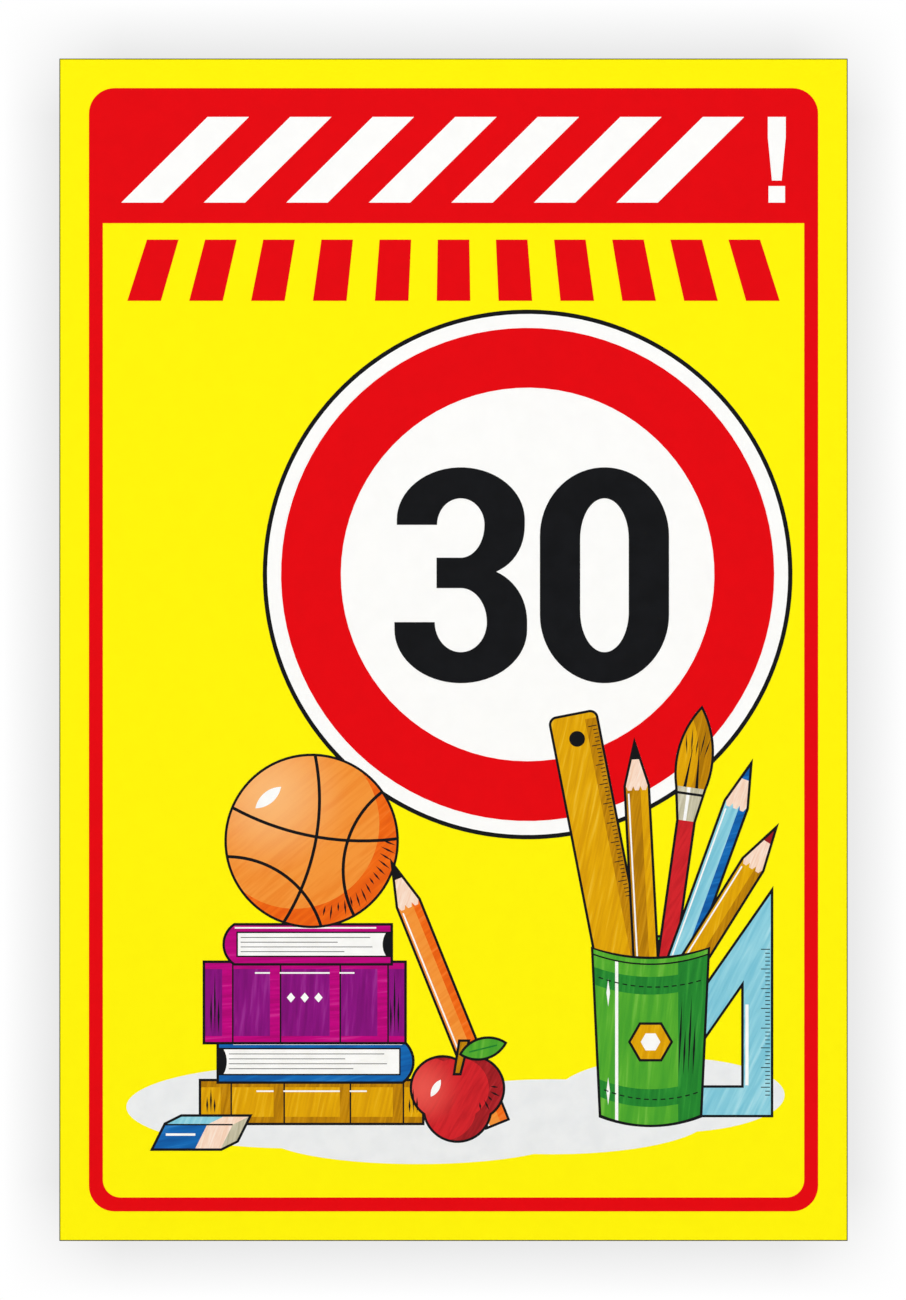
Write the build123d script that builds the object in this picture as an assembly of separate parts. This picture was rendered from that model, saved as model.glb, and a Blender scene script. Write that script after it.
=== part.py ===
from build123d import *
import os
from math import cos, radians, sin

# School crossing sign: a flat sawn panel with a printed face, to be fixed by its back.
# The origin is the middle of the panel's back. X is to the viewer's right, Z is up, and the
# printed face looks along -Y. All sizes are in millimetres.

# Panel, and the thickness that each layer of print is given
panel_width = 400.0
panel_height = 600.0
panel_thickness = 3.0
print_thickness = 0.1

# Fine dark line printed round the edge
edge_line_width = 0.4

# Red frame, with a solid title block across its top
frame_margin = 15.0
frame_line_width = 7.0
frame_corner_radius = 13.0
frame_hole_radius = 9.0
title_block_height = 68.5

# White slanted marks in the title block, and the exclamation mark that ends the row
title_mark_count = 7
title_mark_width = 21.0
title_mark_lean = 43.8
title_height = 43.5
title_side_gap = 16.4
title_drop = 2.1
exclamation_width = 9.1
exclamation_foot_width = 4.9
exclamation_shoulder = 10.4
exclamation_dot = 8.4
exclamation_dot_gap = 2.8
exclamation_clearance = 12.0

# Red bars of a crossing, seen along the road, so they draw together a little at the top
bar_count = 11
bar_width = 17.0
bar_height = 31.0
bar_side_gap = 12.5
bar_drop = 8.4
bar_convergence = 0.94

# Speed roundel, measured inwards from its rim line
roundel_radius = 134.4
roundel_rim_width = 2.2
roundel_border_width = 7.1
roundel_ring_width = 30.3
roundel_side_gap = 6.0
roundel_drop = 4.5

# Numerals of the roundel. Heights are from the middle of the numeral
numeral_height = 109.5
numeral_side_stroke = 20.4
numeral_cap_stroke = 15.7
numeral_gap = 6.5
numeral_drop = 0.4
numeral_shift = 2.1
three_width = 67.3
three_upper_inset = 1.2
three_upper_level = 25.6
three_lower_level = -23.8
three_upper_straight = 2.6
three_lower_straight = 3.9
three_bar_level = 1.2
three_bar_stroke = 15.4
three_bar_length = 12.3
three_notch_level = 1.8
three_notch_depth = 15.7
three_notch_slope = 24.0
three_notch_pull = 9.42
zero_width = 65.5
zero_straight = 40.0
zero_hole_straight = 37.0

# Pale ground patch: blots as (left or right of the middle, above the frame, half width, half height)
ground_blots = [
    (-82.0, 46.0, 84.0, 21.0),
    (-18.0, 32.0, 78.0, 15.0),
    (50.0, 41.0, 80.0, 19.0),
    (110.0, 52.0, 58.0, 19.0),
]

# Pen line round everything in the picture
pen_width = 1.3
fine_pen_width = 0.8

# Name for a gap in the colours of the picture, where the black base shows as a line
line_gap = "line_gap"

# Heights above the frame's lower line on which the two groups of the picture stand
stack_ground = 38.0
pot_ground = 42.0

# Lying books: board and page details that all of them share
book_board = 3.0
book_overhang = 2.4
book_spine_bulge = 5.0
book_page_hollow = 1.6
book_band = 5.0
book_band_places = (-0.78, -0.3, 0.3, 0.78)

# Pencil pot, seen a little from above, its middle to the right of the sign's middle
pot_offset = 100.0
pot_rim_radius = 29.0
pot_base_radius = 25.0
pot_height = 84.0
pot_sag = 5.0
pot_mouth_rise = 6.0
pot_rim_wall = 2.2
pot_band_height = 9.0
pot_band_inset = 9.0
pot_shade_width = 15.0
pot_gleam_inset = 7.0
pot_badge_radius = 10.0
pot_contents_depth = 13.0

# Gleams: the width of a straight one, and how wide a lens-shaped one is against its length
gleam_width = 1.6
glint_slenderness = 0.36

# Pencils, ruler, brush and set square
pencil_width = 11.0
pencil_cone = 20.0
pencil_lead = 6.5
pencil_scallop = 0.6
ruler_width = 23.0
ruler_corner_radius = 3.0
ruler_hole_radius = 4.0
brush_width = 7.5
brush_ferrule = 17.0
brush_ferrule_spread = 3.0
brush_tuft = 40.0
brush_belly = 1.25
brush_strand_place = 0.45
brush_strand_length = 22.0
square_foot = 78.0
square_height = 112.0
square_band = 15.0
square_offset = 61.0

# What stands in the pot, each with its length, its distance to the right of the pot's middle and
# its lean to the left in degrees. The pencils end with lacquer, shade and lead, the last in front
ruler_stance = (134.0, -14.0, 11.0)
brush_stance = (136.0, 7.0, -8.0)
pot_pencils = [
    (116.0, -2.0, 3.0, "picture_brown", "picture_gold", line_gap),
    (112.0, 12.0, -20.0, "picture_light_blue", "picture_blue", "picture_blue"),
    (86.0, 17.0, -32.0, "picture_gold", "picture_brown", "picture_red"),
]

# Stack of books, its left end to the left of the sign's middle, and the books from the bottom:
# (inset from the stack's left, width, thickness, cover, trim, and the side that the spine is on:
# left is -1, right is 1 and towards the viewer is 0)
stack_offset = 128.0
stack_books = [
    (0.0, 112.0, 21.0, "picture_gold", "picture_brown", 0),
    (9.0, 98.0, 20.0, "picture_blue", "picture_light_blue", 1),
    (2.0, 101.0, 40.0, "picture_purple", "picture_magenta", 0),
    (12.0, 84.0, 19.0, "picture_magenta", "picture_purple", -1),
]

# Ball on the stack
ball_radius = 43.0
ball_offset = 56.0
ball_shade_shift = 8.6
ball_glint_offset = 22.0
ball_glint_length = 17.0
ball_glint_turn = 40.0
ball_seam_width = 1.6
# Ball seams: circles as (left or right, below or above, radius) about the ball's middle
ball_seams = [(-112.0, 21.0, 116.0), (26.0, 138.0, 138.0), (66.0, -15.0, 50.0), (-43.0, -58.0, 50.0)]

# Apple and leaning pencil to the right of the stack's left end, and an eraser at its left foot
apple_offset = 130.0
apple_width = 46.0
apple_height = 42.0
apple_lobe_radius = 15.5
apple_foot_radius = 16.5
apple_stalk = 8.0
apple_stalk_foot_width = 2.0
apple_stalk_top_width = 3.5
apple_stalk_lean = 1.5
apple_shade_shift = 7.0
apple_glint_offset = 11.0
apple_glint_length = 10.0
apple_glint_turn = 60.0
apple_ground_drop = 9.0
leaf_length = 22.0
leaf_half_width = 4.6
leaf_gap = 2.0
leaf_lean = 14.0
tall_pencil_length = 140.0
tall_pencil_lean = 22.0
tall_pencil_offset = 150.0
eraser_offset = 24.0
eraser_length = 34.0
eraser_height = 12.0
eraser_depth = 8.0
eraser_lean = 6.0
eraser_sleeve = 21.0
eraser_ground_drop = 13.0

# A scrap of ink smaller than this is left out
smallest_scrap = 0.6


def polygon(*points):
    """A field with straight sides between the points, in the place that they give."""
    return Polygon(*points, align=None)


def bar(left, right, bottom, top):
    """An upright rectangle between these limits."""
    return polygon((left, bottom), (right, bottom), (right, top), (left, top))


def arc(x, z, x_radius, z_radius, start, turn):
    """Part of an upright ellipse about a point, from a start angle through a turn, in degrees."""
    return EllipticalCenterArc((x, z), x_radius, z_radius, start, arc_size=turn)


def glint(x, z, turn, length):
    """A lens-shaped gleam about a point, its long way turned up from level."""
    half = length / 2
    rise = half * glint_slenderness
    lens = make_face(
        [
            ThreePointArc((-half, 0), (0, -rise), (half, 0)),
            ThreePointArc((half, 0), (0, rise), (-half, 0)),
        ]
    )
    return Pos(x, z) * Rot(0, 0, turn) * lens


def inked(shape):
    """The shape grown by the width of the pen line that is drawn round it, with sharp corners."""
    return offset(shape, pen_width, kind=Kind.INTERSECTION)


def drawn(outline, colours):
    """A motif of the picture: a black base of the given outline, with colours printed over it.

    A colour named line_gap is left open, so that the black base shows there as a line.
    """
    return outline, [[("picture_black", outline)], colours]


def moved(motif, x, z, turn=0.0):
    """A motif carried to a place on the face, turned about its own origin."""
    outline, coats = motif
    place = Pos(x, z) * Rot(0, 0, turn)
    return place * outline, [[(ink, place * shape) for ink, shape in coat] for coat in coats]


# Frame and title


def frame_field():
    """The red line and title block, as one field with a hole for the yellow ground."""
    outside = RectangleRounded(frame_width, frame_height, frame_corner_radius)
    half = frame_hole_half_width
    foot_half = half - frame_hole_radius
    foot_level = frame_hole_bottom + frame_hole_radius
    hole = bar(-half, half, foot_level, title_block_bottom) + bar(
        -foot_half, foot_half, frame_hole_bottom, title_block_bottom
    )
    corners = [Pos(side * foot_half, foot_level) * Circle(frame_hole_radius) for side in (-1, 1)]
    return outside - [hole + corners]


def title_marks():
    """White slanted marks, evenly spaced along the title block."""
    left = -frame_width / 2 + title_side_gap
    right = exclamation_left - exclamation_clearance
    pitch = (right - left - title_mark_width - title_mark_lean) / (title_mark_count - 1)
    bottom = title_level - title_height / 2
    mark = polygon(
        (0, 0),
        (title_mark_width, 0),
        (title_mark_width + title_mark_lean, title_height),
        (title_mark_lean, title_height),
    )
    return Sketch() + [Pos(left + pitch * i, bottom) * mark for i in range(title_mark_count)]


def exclamation():
    """A plain exclamation mark: a tapered stem over a square dot."""
    middle = exclamation_left + exclamation_width / 2
    top = title_level + title_height / 2
    bottom = title_level - title_height / 2
    stem_foot = bottom + exclamation_dot + exclamation_dot_gap
    half = exclamation_width / 2
    foot = exclamation_foot_width / 2
    dot = exclamation_dot / 2
    stem = polygon(
        (middle - half, top),
        (middle - half, top - exclamation_shoulder),
        (middle - foot, stem_foot),
        (middle + foot, stem_foot),
        (middle + half, top - exclamation_shoulder),
        (middle + half, top),
    )
    return stem + bar(middle - dot, middle + dot, bottom, bottom + exclamation_dot)


def crossing_bars():
    """Red bars of a crossing, each drawn towards the middle at its top."""
    top = title_block_bottom - bar_drop
    bottom = top - bar_height
    reach = frame_hole_half_width - bar_side_gap
    pitch = (2 * reach - bar_width) / (bar_count - 1)
    bars = []
    for i in range(bar_count):
        left = -reach + pitch * i
        right = left + bar_width
        bars.append(
            polygon(
                (left, bottom),
                (right, bottom),
                (right * bar_convergence, top),
                (left * bar_convergence, top),
            )
        )
    return Sketch() + bars


# Roundel and numerals


def three():
    """The numeral 3 about its own middle: two open bowls that meet in a short bar."""
    half = three_width / 2
    upper = half - three_upper_inset
    top = numeral_height / 2
    side = numeral_side_stroke
    upper_cap = three_upper_level + three_upper_straight
    lower_cap = three_lower_level - three_lower_straight
    bar_top = three_bar_level + three_bar_stroke / 2
    bar_bottom = three_bar_level - three_bar_stroke / 2
    notch = (half - three_notch_depth, three_notch_level)
    pull_x = three_notch_pull * cos(radians(three_notch_slope))
    pull_z = three_notch_pull * sin(radians(three_notch_slope))
    upper_pull = (three_upper_level - three_notch_level) / 2
    lower_pull = (three_notch_level - three_lower_level) / 2
    upper_hole_rise = top - three_upper_level - numeral_cap_stroke
    lower_hole_drop = top + three_lower_level - numeral_cap_stroke
    outline = [
        Line((-upper, three_upper_level), (-upper, upper_cap)),
        arc(0, upper_cap, upper, top - upper_cap, 180, -180),
        Line((upper, upper_cap), (upper, three_upper_level)),
        Bezier(
            (upper, three_upper_level),
            (upper, three_upper_level - upper_pull),
            (notch[0] + pull_x, notch[1] + pull_z),
            notch,
        ),
        Bezier(
            notch,
            (notch[0] + pull_x, notch[1] - pull_z),
            (half, three_lower_level + lower_pull),
            (half, three_lower_level),
        ),
        Line((half, three_lower_level), (half, lower_cap)),
        arc(0, lower_cap, half, top + lower_cap, 0, -180),
        Line((-half, lower_cap), (-half, three_lower_level)),
        Line((-half, three_lower_level), (side - half, three_lower_level)),
        arc(0, three_lower_level, half - side, lower_hole_drop, 180, 180),
        arc(0, three_lower_level, half - side, bar_bottom - three_lower_level, 0, 90),
        Polyline(
            (0, bar_bottom),
            (-three_bar_length, bar_bottom),
            (-three_bar_length, bar_top),
            (0, bar_top),
        ),
        arc(0, three_upper_level, upper - side, three_upper_level - bar_top, -90, 90),
        arc(0, three_upper_level, upper - side, upper_hole_rise, 0, 180),
        Line((side - upper, three_upper_level), (-upper, three_upper_level)),
    ]
    return make_face(outline)


def tall_oval(width, height, straight):
    """An upright oval with straight sides and half ellipses above and below them."""
    half = width / 2
    edge = straight / 2
    cap = height / 2 - edge
    outline = [
        Line((half, -edge), (half, edge)),
        arc(0, edge, half, cap, 0, 180),
        Line((-half, edge), (-half, -edge)),
        arc(0, -edge, half, cap, 180, 180),
    ]
    return make_face(outline)


def zero():
    """The numeral 0 about its own middle."""
    hole_width = zero_width - 2 * numeral_side_stroke
    hole_height = numeral_height - 2 * numeral_cap_stroke
    return tall_oval(zero_width, numeral_height, zero_straight) - tall_oval(
        hole_width, hole_height, zero_hole_straight
    )


def numerals():
    """Both numerals, centred in the roundel as a pair."""
    pair_width = three_width + numeral_gap + zero_width
    middle = roundel_x + numeral_shift
    three_middle = middle - pair_width / 2 + three_width / 2
    zero_middle = middle + pair_width / 2 - zero_width / 2
    level = roundel_z - numeral_drop
    return Pos(three_middle, level) * three() + Pos(zero_middle, level) * zero()


def roundel():
    """The round speed sign: a dark base, a white disc on it, and the ring and numerals on that."""
    outline = Pos(roundel_x, roundel_z) * Circle(roundel_radius)
    disc_radius = roundel_radius - roundel_rim_width
    ring_radius = disc_radius - roundel_border_width
    ring = Circle(ring_radius) - Circle(ring_radius - roundel_ring_width)
    return outline, [
        [("roundel_black", outline)],
        [("roundel_disc", Pos(roundel_x, roundel_z) * Circle(disc_radius))],
        [("red_print", Pos(roundel_x, roundel_z) * ring), ("roundel_black", numerals())],
    ]


# Things in the picture, each about its own foot


def pencil(length, lacquer, shade, lead):
    """A six-sided pencil that points up, three of its sides showing."""
    half = pencil_width / 2
    facet = pencil_width / 3
    shoulder = length - pencil_cone
    body = polygon((-half, 0), (half, 0), (half, shoulder), (0, length), (-half, shoulder))
    scallop = facet * pencil_scallop
    edge = [(half, shoulder), (0, length), (-half, shoulder)]
    for i in range(3):
        left = facet * i - half
        edge += [
            (left + facet / 4, shoulder - scallop),
            (left + facet * 3 / 4, shoulder - scallop),
            (left + facet, shoulder),
        ]
    wood = polygon(*edge[:-1])
    tip_half = half * pencil_lead / pencil_cone
    tip = polygon((-tip_half, length - pencil_lead), (tip_half, length - pencil_lead), (0, length))
    gleam_left = fine_pen_width - half
    gleam = bar(gleam_left, gleam_left + gleam_width / 2, 0, shoulder - facet)
    return drawn(inked(body), [
        (lacquer, bar(-half, half, 0, shoulder)),
        (shade, bar(half - facet, half, 0, shoulder)),
        ("picture_white", gleam),
        ("picture_beige", wood),
        (lead, tip),
    ])


def ruler(length):
    """A wooden ruler on end, with a hanging hole and a bevelled right edge."""
    half = ruler_width / 2
    radius = ruler_corner_radius
    blade = bar(-half, half, 0, length - radius)
    crown = bar(radius - half, half - radius, 0, length)
    corners = [Pos(side * (half - radius), length - radius) * Circle(radius) for side in (-1, 1)]
    body = blade + crown + corners
    hole = Pos(0, length - 3 * ruler_hole_radius) * Circle(ruler_hole_radius)
    bevel = bar(half - ruler_width / 4, half, 0, length - radius)
    return drawn(inked(body), [
        ("picture_gold", body - hole),
        ("picture_brown", bevel),
    ])


def brush(length):
    """A paint brush with its tuft up: a handle, a metal ferrule and a pointed tuft."""
    half = brush_width / 2
    spread = half + brush_ferrule_spread
    neck = length - brush_tuft
    handle = bar(-half, half, 0, neck - brush_ferrule)
    foot = neck - brush_ferrule
    ferrule = polygon((-half, foot), (half, foot), (spread, neck), (-spread, neck))
    belly = spread * brush_belly
    belly_level = neck + brush_tuft / 3
    tuft = make_face(
        [
            Line((-spread, neck), (spread, neck)),
            ThreePointArc((spread, neck), (belly, belly_level), (0, length)),
            ThreePointArc((0, length), (-belly, belly_level), (-spread, neck)),
        ]
    )
    strands = []
    for side in (-1, 1):
        strand_x = side * spread * brush_strand_place
        strands.append(
            polygon(
                (strand_x - fine_pen_width, neck),
                (strand_x + fine_pen_width, neck),
                (strand_x / 2, neck + brush_strand_length),
            )
        )
    crimp = bar(-spread, spread, neck - 3 * pen_width, neck - 2 * pen_width)
    gleam = bar(-gleam_width, 0, foot, neck)
    return drawn(inked(handle + ferrule + tuft), [
        ("picture_bright_red", handle),
        ("picture_grey", ferrule),
        ("picture_white", gleam),
        (line_gap, crimp & ferrule),
        ("picture_brown", tuft),
        ("picture_gold", tuft & (Pos(-spread, 0) * tuft)),
        (line_gap, Sketch() + strands),
    ])


def set_square():
    """A clear blue set square on its foot, its right angle at the lower right."""
    slope = square_height / square_foot
    body = polygon((-square_foot, 0), (0, 0), (0, square_height))
    inset = square_band
    window_height = square_height - inset * (1 + slope + (1 + slope**2) ** 0.5)
    window = polygon(
        (-inset - window_height / slope, inset),
        (-inset, inset),
        (-inset, inset + window_height),
    )
    gleam_left = fine_pen_width + pen_width - inset
    gleam = bar(gleam_left, gleam_left + gleam_width, inset, square_height / 2)
    return drawn(inked(body) - window, [
        ("picture_light_blue", body - inked(window)),
        ("picture_white", gleam),
    ])


def pot_half_width(level):
    """Half the pot's width at a height above its base."""
    return pot_base_radius + (pot_rim_radius - pot_base_radius) * level / pot_height


def pot_zone(bottom, top, margin=0.0):
    """The strip of the pot's side between two heights, with edges that sag as they go round it."""
    low_half = pot_half_width(bottom) + margin
    high_half = pot_half_width(top) + margin
    low = bottom - margin
    high = top + margin
    outline = [
        ThreePointArc((-low_half, low), (0, low - pot_sag), (low_half, low)),
        Line((low_half, low), (high_half, high)),
        ThreePointArc((high_half, high), (0, high - pot_sag), (-high_half, high)),
        Line((-high_half, high), (-low_half, low)),
    ]
    return make_face(outline)


def pot_back():
    """The pot's rim and the dark inside behind what stands in it."""
    centre = Pos(0, pot_height)
    half = pot_rim_radius - pot_rim_wall / 2
    outline = centre * Ellipse(half + pen_width, pot_mouth_rise + pen_width)
    mouth = centre * Ellipse(half - pot_rim_wall, pot_mouth_rise - pot_rim_wall / 2)
    return drawn(outline, [
        ("picture_light_green", centre * Ellipse(half, pot_mouth_rise)),
        (line_gap, mouth),
    ])


def pot_front():
    """The pot's side: two green bands, a shaded flank and a gleam."""
    side = pot_zone(0, pot_height)
    lip = pot_zone(pot_height - pot_rim_wall, pot_height)
    lip_line = pot_zone(pot_height - pot_rim_wall - fine_pen_width, pot_height)
    flank = bar(pot_rim_radius - pot_shade_width, pot_rim_radius, -pot_height, pot_height)
    upper_top = pot_height - pot_band_inset
    lower_bottom = pot_band_inset
    bands = pot_zone(upper_top - pot_band_height, upper_top) + pot_zone(
        lower_bottom, lower_bottom + pot_band_height
    )
    gleam_left = pot_gleam_inset - pot_base_radius
    gleam = bar(gleam_left, gleam_left + gleam_width, -pot_height, pot_height)
    middle = Pos(0, pot_height / 2 - pot_sag)
    badge = middle * RegularPolygon(pot_badge_radius, 6)
    return drawn(pot_zone(0, pot_height, pen_width), [
        ("picture_light_green", side),
        ("picture_green", (side & flank) + bands),
        ("picture_white", side & gleam),
        (line_gap, inked(badge)),
        ("picture_gold", badge),
        ("picture_white", middle * RegularPolygon(pot_badge_radius / 2, 6)),
        (line_gap, lip_line),
        ("picture_light_green", lip),
    ])


def spine_book(width, thickness, cover, trim):
    """A book lying flat with its spine to the viewer: raised bands and a bare title panel."""
    half = width / 2
    back = bar(-half, half, 0, thickness)
    hinge = bar(-half, half, thickness - book_board, thickness) + bar(-half, half, 0, book_board)
    bands = []
    edges = []
    for place in book_band_places:
        left = half * place - book_band / 2
        right = half * place + book_band / 2
        bands.append(bar(left, right, 0, thickness))
        edges.append(bar(right, right + fine_pen_width, 0, thickness))
    gleam_level = thickness - book_board - 2 * fine_pen_width
    gleam = bar(-half / 2, half / 2, gleam_level - fine_pen_width, gleam_level)
    return drawn(inked(back), [
        (cover, back),
        (trim, hinge + bands),
        (line_gap, Sketch() + edges),
        ("picture_white", gleam - bands),
    ])


def book(width, thickness, cover, spine_side):
    """A book lying flat, seen from its foot: boards, rounded spine and page block."""
    half = width / 2
    spine = -half + book_spine_bulge
    case = make_face(
        [
            ThreePointArc((spine, thickness), (-half, thickness / 2), (spine, 0)),
            Polyline((spine, 0), (half, 0), (half, thickness), (spine, thickness)),
        ]
    )
    hollow_left = spine + fine_pen_width
    hollow = bar(hollow_left, half, book_board, thickness - book_board)
    page_left = hollow_left + fine_pen_width
    page_right = half - book_overhang
    page_bottom = book_board + fine_pen_width
    page_top = thickness - page_bottom
    pages = make_face(
        [
            ThreePointArc(
                (page_right, page_top),
                (page_right - book_page_hollow, thickness / 2),
                (page_right, page_bottom),
            ),
            Polyline(
                (page_right, page_bottom),
                (page_left, page_bottom),
                (page_left, page_top),
                (page_right, page_top),
            ),
        ]
    )
    gleam_level = thickness - book_board / 2
    gleam = bar(spine, half - 3 * book_overhang, gleam_level, gleam_level + fine_pen_width)
    outline = inked(case)
    colours = [
        (cover, case),
        (line_gap, hollow),
        ("picture_white", gleam),
        ("picture_white", pages),
    ]
    if spine_side > 0:
        outline = mirror(outline, Plane.YZ)
        colours = [(ink, mirror(shape, Plane.YZ)) for ink, shape in colours]
    return drawn(outline, colours)


def ball():
    """A play ball with curved seams, lit from the upper left."""
    body = Circle(ball_radius)
    shade = body - Pos(-ball_shade_shift, ball_shade_shift) * Circle(ball_radius)
    seams = []
    for x, z, radius in ball_seams:
        line = Circle(radius + ball_seam_width / 2) - Circle(radius - ball_seam_width / 2)
        seams.append((Pos(x, z) * line) & body)
    gleam = glint(-ball_glint_offset, ball_glint_offset, ball_glint_turn, ball_glint_length)
    return drawn(inked(body), [
        ("picture_orange", body),
        ("picture_deep_orange", shade),
        ("picture_white", gleam),
        (line_gap, Sketch() + seams),
    ])


def apple():
    """An apple on its base: two lobes over a narrow foot, a short stalk and one leaf."""
    half = apple_width / 2
    lobe_level = apple_height - apple_lobe_radius
    lobe = Pos(half - apple_lobe_radius, lobe_level) * Circle(apple_lobe_radius)
    foot = Pos(0, apple_foot_radius) * Circle(apple_foot_radius)
    body = foot + lobe + mirror(lobe, Plane.YZ)
    stalk_foot = lobe_level + apple_lobe_radius / 2
    stalk_top = apple_height + apple_stalk
    stalk_half = apple_stalk_foot_width / 2
    stalk = polygon(
        (-stalk_half, stalk_foot),
        (stalk_half, stalk_foot),
        (apple_stalk_lean + apple_stalk_top_width, stalk_top),
        (apple_stalk_lean, stalk_top),
    )
    leaf_radius = (leaf_length**2 / 4 + leaf_half_width**2) / (2 * leaf_half_width)
    leaf_shift = leaf_radius - leaf_half_width
    leaf = Pos(0, leaf_shift) * Circle(leaf_radius) & Pos(0, -leaf_shift) * Circle(leaf_radius)
    vein = bar(-leaf_length / 3, leaf_length / 3, -fine_pen_width / 2, fine_pen_width / 2)
    leaf_middle = (leaf_gap + leaf_length / 2, apple_height + leaf_half_width)
    leaf_place = Pos(*leaf_middle) * Rot(0, 0, leaf_lean)
    lit = body & Pos(-apple_shade_shift, 0) * body
    gleam = glint(-apple_glint_offset, lobe_level, apple_glint_turn, apple_glint_length)
    outline = inked(body) + inked(stalk) + leaf_place * inked(leaf)
    return drawn(outline, [
        ("picture_red", body),
        ("picture_bright_red", lit),
        ("picture_white", gleam),
        (line_gap, inked(stalk)),
        ("picture_brown", stalk),
        (line_gap, leaf_place * inked(leaf)),
        ("picture_light_green", leaf_place * leaf),
        ("picture_green", leaf_place * vein),
    ])


def eraser():
    """A slanted eraser in a card sleeve, lying on the ground."""
    length = eraser_length
    height = eraser_height
    depth = eraser_depth
    lean = eraser_lean
    front = polygon((0, 0), (length, 0), (length + lean, height), (lean, height))
    top = polygon(
        (lean, height),
        (length + lean, height),
        (length + lean + depth, height + depth / 2),
        (lean + depth, height + depth / 2),
    )
    sleeve_end = eraser_sleeve
    sleeve = polygon((0, 0), (sleeve_end, 0), (sleeve_end + lean, height), (lean, height))
    sleeve_top = polygon(
        (lean, height),
        (sleeve_end + lean, height),
        (sleeve_end + lean + depth, height + depth / 2),
        (lean + depth, height + depth / 2),
    )
    end = polygon(
        (length, 0),
        (length + depth, depth / 2),
        (length + lean + depth, height + depth / 2),
        (length + lean, height),
    )
    seam = bar(0, length + lean, height - fine_pen_width / 2, height + fine_pen_width / 2)
    return drawn(inked(front + top + end), [
        ("picture_beige", front + top),
        ("picture_grey", end),
        ("picture_blue", sleeve),
        ("picture_light_blue", sleeve_top),
        (line_gap, seam & (front + top)),
    ])


def ground_patch():
    """The pale patch that the picture stands on: soft blots run together."""
    blots = [
        Pos(x, frame_hole_bottom + rise) * Ellipse(half_width, half_height)
        for x, rise, half_width, half_height in ground_blots
    ]
    return Sketch() + blots


def stack_group():
    """A stack of books with a ball on it, a leaning pencil, an apple and an eraser."""
    ground = frame_hole_bottom + stack_ground
    stack_left = -stack_offset
    motifs = []
    level = ground
    for inset, width, thickness, cover, trim, spine_side in stack_books:
        if spine_side == 0:
            motif = spine_book(width, thickness, cover, trim)
        else:
            motif = book(width, thickness, cover, spine_side)
        motifs.append(moved(motif, stack_left + inset + width / 2, level))
        level += thickness
    motifs.append(moved(ball(), stack_left + ball_offset, level + ball_radius))
    tall = pencil(tall_pencil_length, "picture_orange", "picture_deep_orange", line_gap)
    motifs.append(moved(tall, stack_left + tall_pencil_offset, ground, tall_pencil_lean))
    motifs.append(moved(apple(), stack_left + apple_offset, ground - apple_ground_drop))
    motifs.append(moved(eraser(), stack_left - eraser_offset, ground - eraser_ground_drop))
    return motifs


def pot_group():
    """A set square with a filled pencil pot in front of it, back to front."""
    ground = frame_hole_bottom + pot_ground
    mouth = ground + pot_height - pot_contents_depth
    ruler_length, ruler_offset, ruler_lean = ruler_stance
    brush_length, brush_offset, brush_lean = brush_stance
    pencils = []
    for length, pencil_offset, lean, lacquer, shade, lead in pot_pencils:
        motif = pencil(length, lacquer, shade, lead)
        pencils.append(moved(motif, pot_offset + pencil_offset, mouth, lean))
    return [
        moved(set_square(), pot_offset + square_offset, ground),
        moved(pot_back(), pot_offset, ground),
        moved(ruler(ruler_length), pot_offset + ruler_offset, mouth, ruler_lean),
        moved(brush(brush_length), pot_offset + brush_offset, mouth, brush_lean),
        *pencils,
        moved(pot_front(), pot_offset, ground),
    ]


# Printing: every field is cut to what the ones printed over it leave showing


def boxes_meet(first, second):
    """Whether the boxes round two flat shapes touch."""
    one = first.bounding_box()
    other = second.bounding_box()
    apart_x = one.max.X < other.min.X or other.max.X < one.min.X
    apart_z = one.max.Y < other.min.Y or other.max.Y < one.min.Y
    return not (apart_x or apart_z)


def showing(shape, covers):
    """The faces of a field that stay in view when others are printed over it."""
    above = [cover for cover in covers if boxes_meet(shape, cover)]
    seen = shape - above if above else shape
    return [face for face in seen.faces() if face.area > smallest_scrap]


def printed_plates(motifs):
    """The plates of every ink, by its name. The first coat of a motif lies on the yellow ground."""
    inks = {}
    for number, (outline, coats) in enumerate(motifs):
        later = [other_outline for other_outline, other_coats in motifs[number + 1:]]
        for level, coat in enumerate(coats, start=1):
            front = panel_thickness + print_thickness * level
            for layer, (ink, shape) in enumerate(coat):
                if ink == line_gap:
                    continue
                covers = [other for other_ink, other in coat[layer + 1:]] + later
                faces = showing(shape, covers)
                inks.setdefault(ink, []).extend(plate(face, front, print_thickness) for face in faces)
    return inks


def plate(face, front, thickness):
    """A flat face raised towards the viewer from a distance in front of the panel's back."""
    return extrude(Plane.XZ.offset(front) * face, amount=thickness)


frame_width = panel_width - 2 * frame_margin
frame_height = panel_height - 2 * frame_margin
frame_hole_half_width = frame_width / 2 - frame_line_width
frame_hole_bottom = -frame_height / 2 + frame_line_width
title_block_bottom = frame_height / 2 - title_block_height
title_level = frame_height / 2 - title_block_height / 2 - title_drop
exclamation_left = frame_width / 2 - title_side_gap - exclamation_width
roundel_x = frame_hole_half_width - roundel_side_gap - roundel_radius
roundel_z = title_block_bottom - bar_drop - bar_height - roundel_drop - roundel_radius

face = Rectangle(panel_width, panel_height)
edge_line = face - Rectangle(panel_width - 2 * edge_line_width, panel_height - 2 * edge_line_width)
frame = frame_field()
marks = title_marks()
bang = exclamation()
bars = crossing_bars()
patch = ground_patch()

motifs = [
    (frame, [[("red_print", frame)], [("title_marks", marks), ("exclamation_mark", bang)]]),
    (bars, [[("crossing_bars", bars)]]),
    roundel(),
    (patch, [[("ground_patch", patch)]]),
    *stack_group(),
    *pot_group(),
    (edge_line, [[("edge_line", edge_line)]]),
]

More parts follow.
